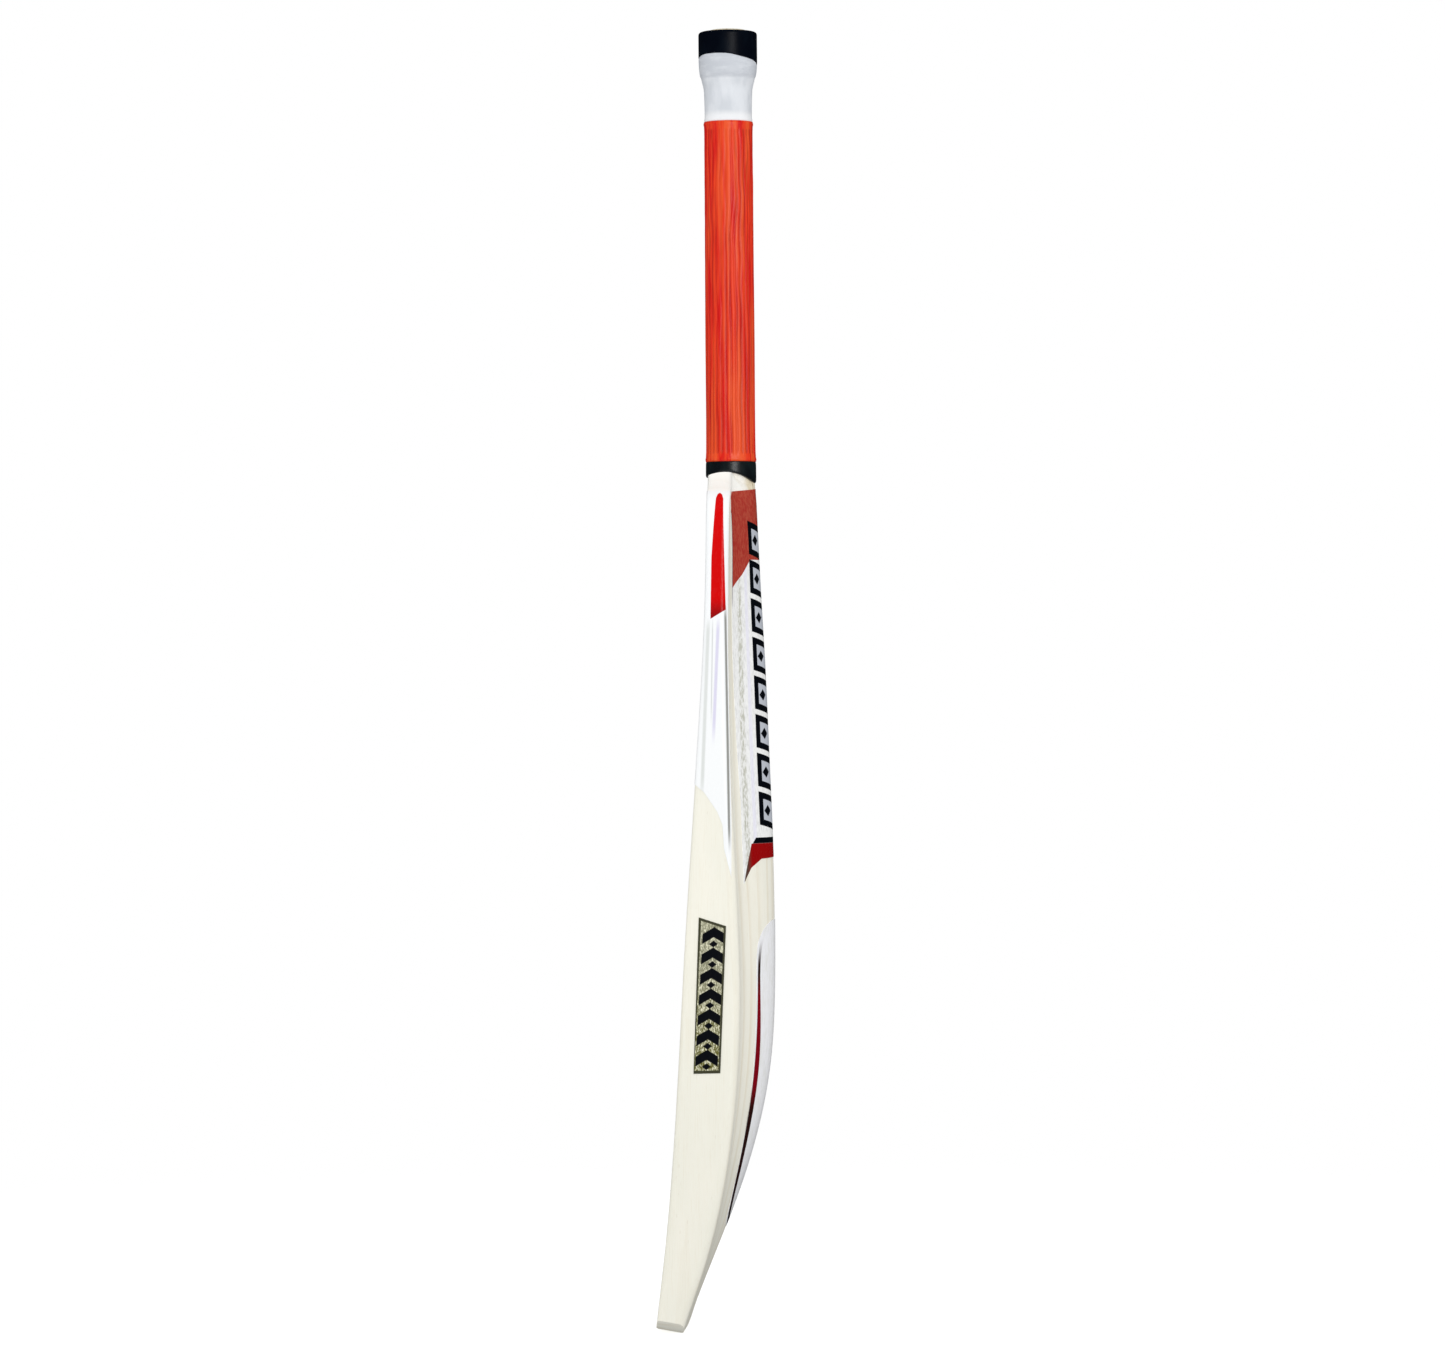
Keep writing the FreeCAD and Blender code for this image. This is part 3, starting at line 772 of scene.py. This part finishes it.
def base_ring(material):
    """Black foot of the grip, rounded under, standing on the shoulders."""
    top = BOXES["grip_base_ring"][1].z
    angles = around(SIDES)
    rings = []
    rounding = ((0.00, 0.9), (0.03, 0.45), (0.08, 0.15), (0.15, 0.02), (0.3, 0.0), (0.6, 0.0),
                (0.86, 0.0), (0.93, 0.08), (0.98, 0.25), (1.0, 0.4))    # share of height, mm in
    for share, tuck in rounding:
        ring = []
        for angle in angles:
            foot = neck_height(angle) + NUDGE
            z = foot + (top - foot) * share
            radius = grip_radius(angle, min(max(z, foot + 0.2 * MM), top - NUDGE))
            ring.append(ring_point(angle, radius - tuck * MM, z))
        rings.append(ring)
    for share in (1.0, 0.5, 0.0):
        ring = []
        for angle in angles:
            foot = neck_height(angle) + NUDGE
            z = foot + (top - foot) * share
            ring.append(ring_point(angle, grip_radius(angle, top - 1 * MM) - WALL, z))
        rings.append(ring)
    return tube("base_ring_rounded", rings, material)


# ---- the object ------------------------------------------------------------------------------------

def paint(node, material):
    """Gives a CAD node its material, its shape left as it is."""
    piece = NODES[node]
    piece.data.materials.clear()
    piece.data.materials.append(material)


def dress_cad_nodes():
    cane_wood = cane()
    strip = spring_rubber()
    for name in NODES:
        if name.startswith("cane_"):
            paint(name, cane_wood)
        if name.startswith("rubber_spring_"):
            paint(name, strip)
    paint("blade", willow())
    paint("twine_binding", thread())
    paint("face_sticker", face_sheet())
    paint("back_sticker", back_sheet())
    paint("spine_sticker", spine_sheet())
    label = label_sheet()
    for name in ("edge_label_right", "edge_label_left"):
        paint(name, label)


def make_grip():
    black = rubber("rubber_black", rgb(3, 7, 17), rgb(7, 14, 24), 0.34, 0.1)
    # the ring's black is a lighter, teal-tinted copy of the band's, partly a painted highlight; it is
    # also glossier
    ring_black_painted_highlight = rubber("rubber_black_glossy_painted_highlight", rgb(9, 14, 19), rgb(18, 30, 32), 0.32, 0.55)
    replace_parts(sleeve(ribbed_red()), "grip_sleeve")
    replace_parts(collar(collar_grey()), "grip_collar")
    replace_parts(butt_band(black), "grip_butt_band")
    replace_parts(base_ring(ring_black_painted_highlight), "grip_base_ring")


# ---- floor, light and camera --------------------------------------------------------------------------

FLOOR_RADIUS = 1.3
FLOOR_SOLID = 0.35       # share of the radius within which the floor doesn't fade
# each lamp: name, degrees round from the hitting face, height over the bat's middle, distance,
# width and height, power, and whether it shows in reflections
LAMPS = [
    ("key", 110.0, 0.6, 2.4, (0.5, 2.0), 24.7, True),
    ("fill_back", 150.0, -0.3, 2.2, (1.2, 2.0), 6.8, False),
    ("fill_face", 15.0, 0.0, 2.2, (1.2, 2.0), 15.0, False),
    ("fill_top", 80.0, 2.4, 0.8, (1.2, 2.0), 10.0, False),
]
PICTURE_ASPECT = 1445 / 1354       # width over height
BAT_SHARE = 0.957        # the bat's height over the picture's
AIM_HEIGHT = 0.5008      # share of the bat's height at the picture's middle
AIM_LEFT = 6.7 * MM      # the handle stands this far right of the picture's middle
VIEW_TURN = 93.0         # degrees round from the hitting face
CAMERA_DISTANCE = 3.8
CAMERA_ROLL = 0.45       # degrees


def floor():
    """A pale disc that fades out into the white surroundings."""
    bpy.ops.mesh.primitive_circle_add(vertices=96, radius=FLOOR_RADIUS, fill_type="NGON",
                                      location=(0.0, AXIS_Y, LOW.z))
    disc = bpy.context.object
    disc.name = "floor"
    m = Material("pale_floor")
    mottle = m.noise(m.stretched(0.02, 0.02, 0.02), 1.0, 3.0)
    colour = m.mix(mottle, rgb(244, 244, 243), rgb(250, 250, 249))
    reach = m.math("SQRT", m.vector("DOT_PRODUCT", m.place, m.place))
    rim = FLOOR_RADIUS / MM
    m.feed(m.shader.inputs["Alpha"], m.step(reach, rim, rim * FLOOR_SOLID))
    m.feed(m.shader.inputs["Emission Color"], colour)
    disc.data.materials.append(m.finish(colour, 0.8, Specular_IOR_Level=0.1, Emission_Strength=0.55))
    disc.visible_diffuse = False
    disc.visible_glossy = False
    disc.visible_shadow = False


def surroundings():
    """White to look at, softer as a light, and dim in reflections, as a dark room would be."""
    world = bpy.data.worlds.new("studio")
    bpy.context.scene.world = world
    world.use_nodes = True
    world.cycles.sampling_method = "NONE"    # met by rays only, so each kind of ray gets its own
    tree = world.node_tree
    tree.nodes.clear()
    path = tree.nodes.new("ShaderNodeLightPath")

    def background(colour, strength):
        node = tree.nodes.new("ShaderNodeBackground")
        node.inputs["Color"].default_value = colour
        node.inputs["Strength"].default_value = strength
        return node.outputs[0]

    def choose(ray, other, wanted):
        node = tree.nodes.new("ShaderNodeMixShader")
        for socket, source in zip(node.inputs, (path.outputs[ray], other, wanted)):
            tree.links.new(source, socket)
        return node.outputs[0]

    seen = background((1.0, 1.0, 1.0, 1.0), 1.0)
    lit = background((0.97, 0.98, 1.0, 1.0), 0.56)
    mirrored = background((0.9, 0.95, 1.0, 1.0), 0.02)
    output = tree.nodes.new("ShaderNodeOutputWorld")
    unseen = choose("Is Glossy Ray", lit, mirrored)
    tree.links.new(choose("Is Camera Ray", unseen, seen), output.inputs["Surface"])


def soft_light(name, azimuth, height, distance, size, power, in_reflections):
    """A rectangular lamp that faces the bat's middle."""
    data = bpy.data.lights.new(name, "AREA")
    data.shape = "RECTANGLE"
    data.size, data.size_y = size
    data.energy = power
    lamp = bpy.data.objects.new(name, data)
    bpy.context.scene.collection.objects.link(lamp)
    turn = math.radians(azimuth)
    middle = Vector((0.0, AXIS_Y, (LOW.z + HIGH.z) / 2))
    lamp.location = middle + Vector((math.sin(turn) * distance, -math.cos(turn) * distance, height))
    lamp.rotation_euler = (middle - lamp.location).to_track_quat("-Z", "Y").to_euler()
    lamp.visible_glossy = in_reflections


def camera():
    """Almost edge-on, a long way off, a touch towards the back of the blade."""
    data = bpy.data.cameras.new("camera")
    eye = bpy.data.objects.new("camera", data)
    bpy.context.scene.collection.objects.link(eye)
    bpy.context.scene.camera = eye
    height = HIGH.z - LOW.z
    picture_width = height / BAT_SHARE * PICTURE_ASPECT
    turn = math.radians(VIEW_TURN)
    back = Vector((math.sin(turn), -math.cos(turn), 0.0))
    right = Vector((math.cos(turn), math.sin(turn), 0.0))
    target = Vector((0.0, AXIS_Y, LOW.z + height * AIM_HEIGHT)) - right * AIM_LEFT
    eye.location = target + back * CAMERA_DISTANCE
    eye.rotation_euler = (target - eye.location).to_track_quat("-Z", "Y").to_euler()
    eye.rotation_euler.rotate_axis("Z", math.radians(-CAMERA_ROLL))
    data.sensor_fit = "HORIZONTAL"
    data.sensor_width = 36.0
    data.lens = data.sensor_width * CAMERA_DISTANCE / picture_width
    data.clip_end = 100.0


bpy.context.scene.view_settings.view_transform = "Standard"
dress_cad_nodes()
make_grip()
floor()
surroundings()
for lamp in LAMPS:
    soft_light(*lamp)
camera()
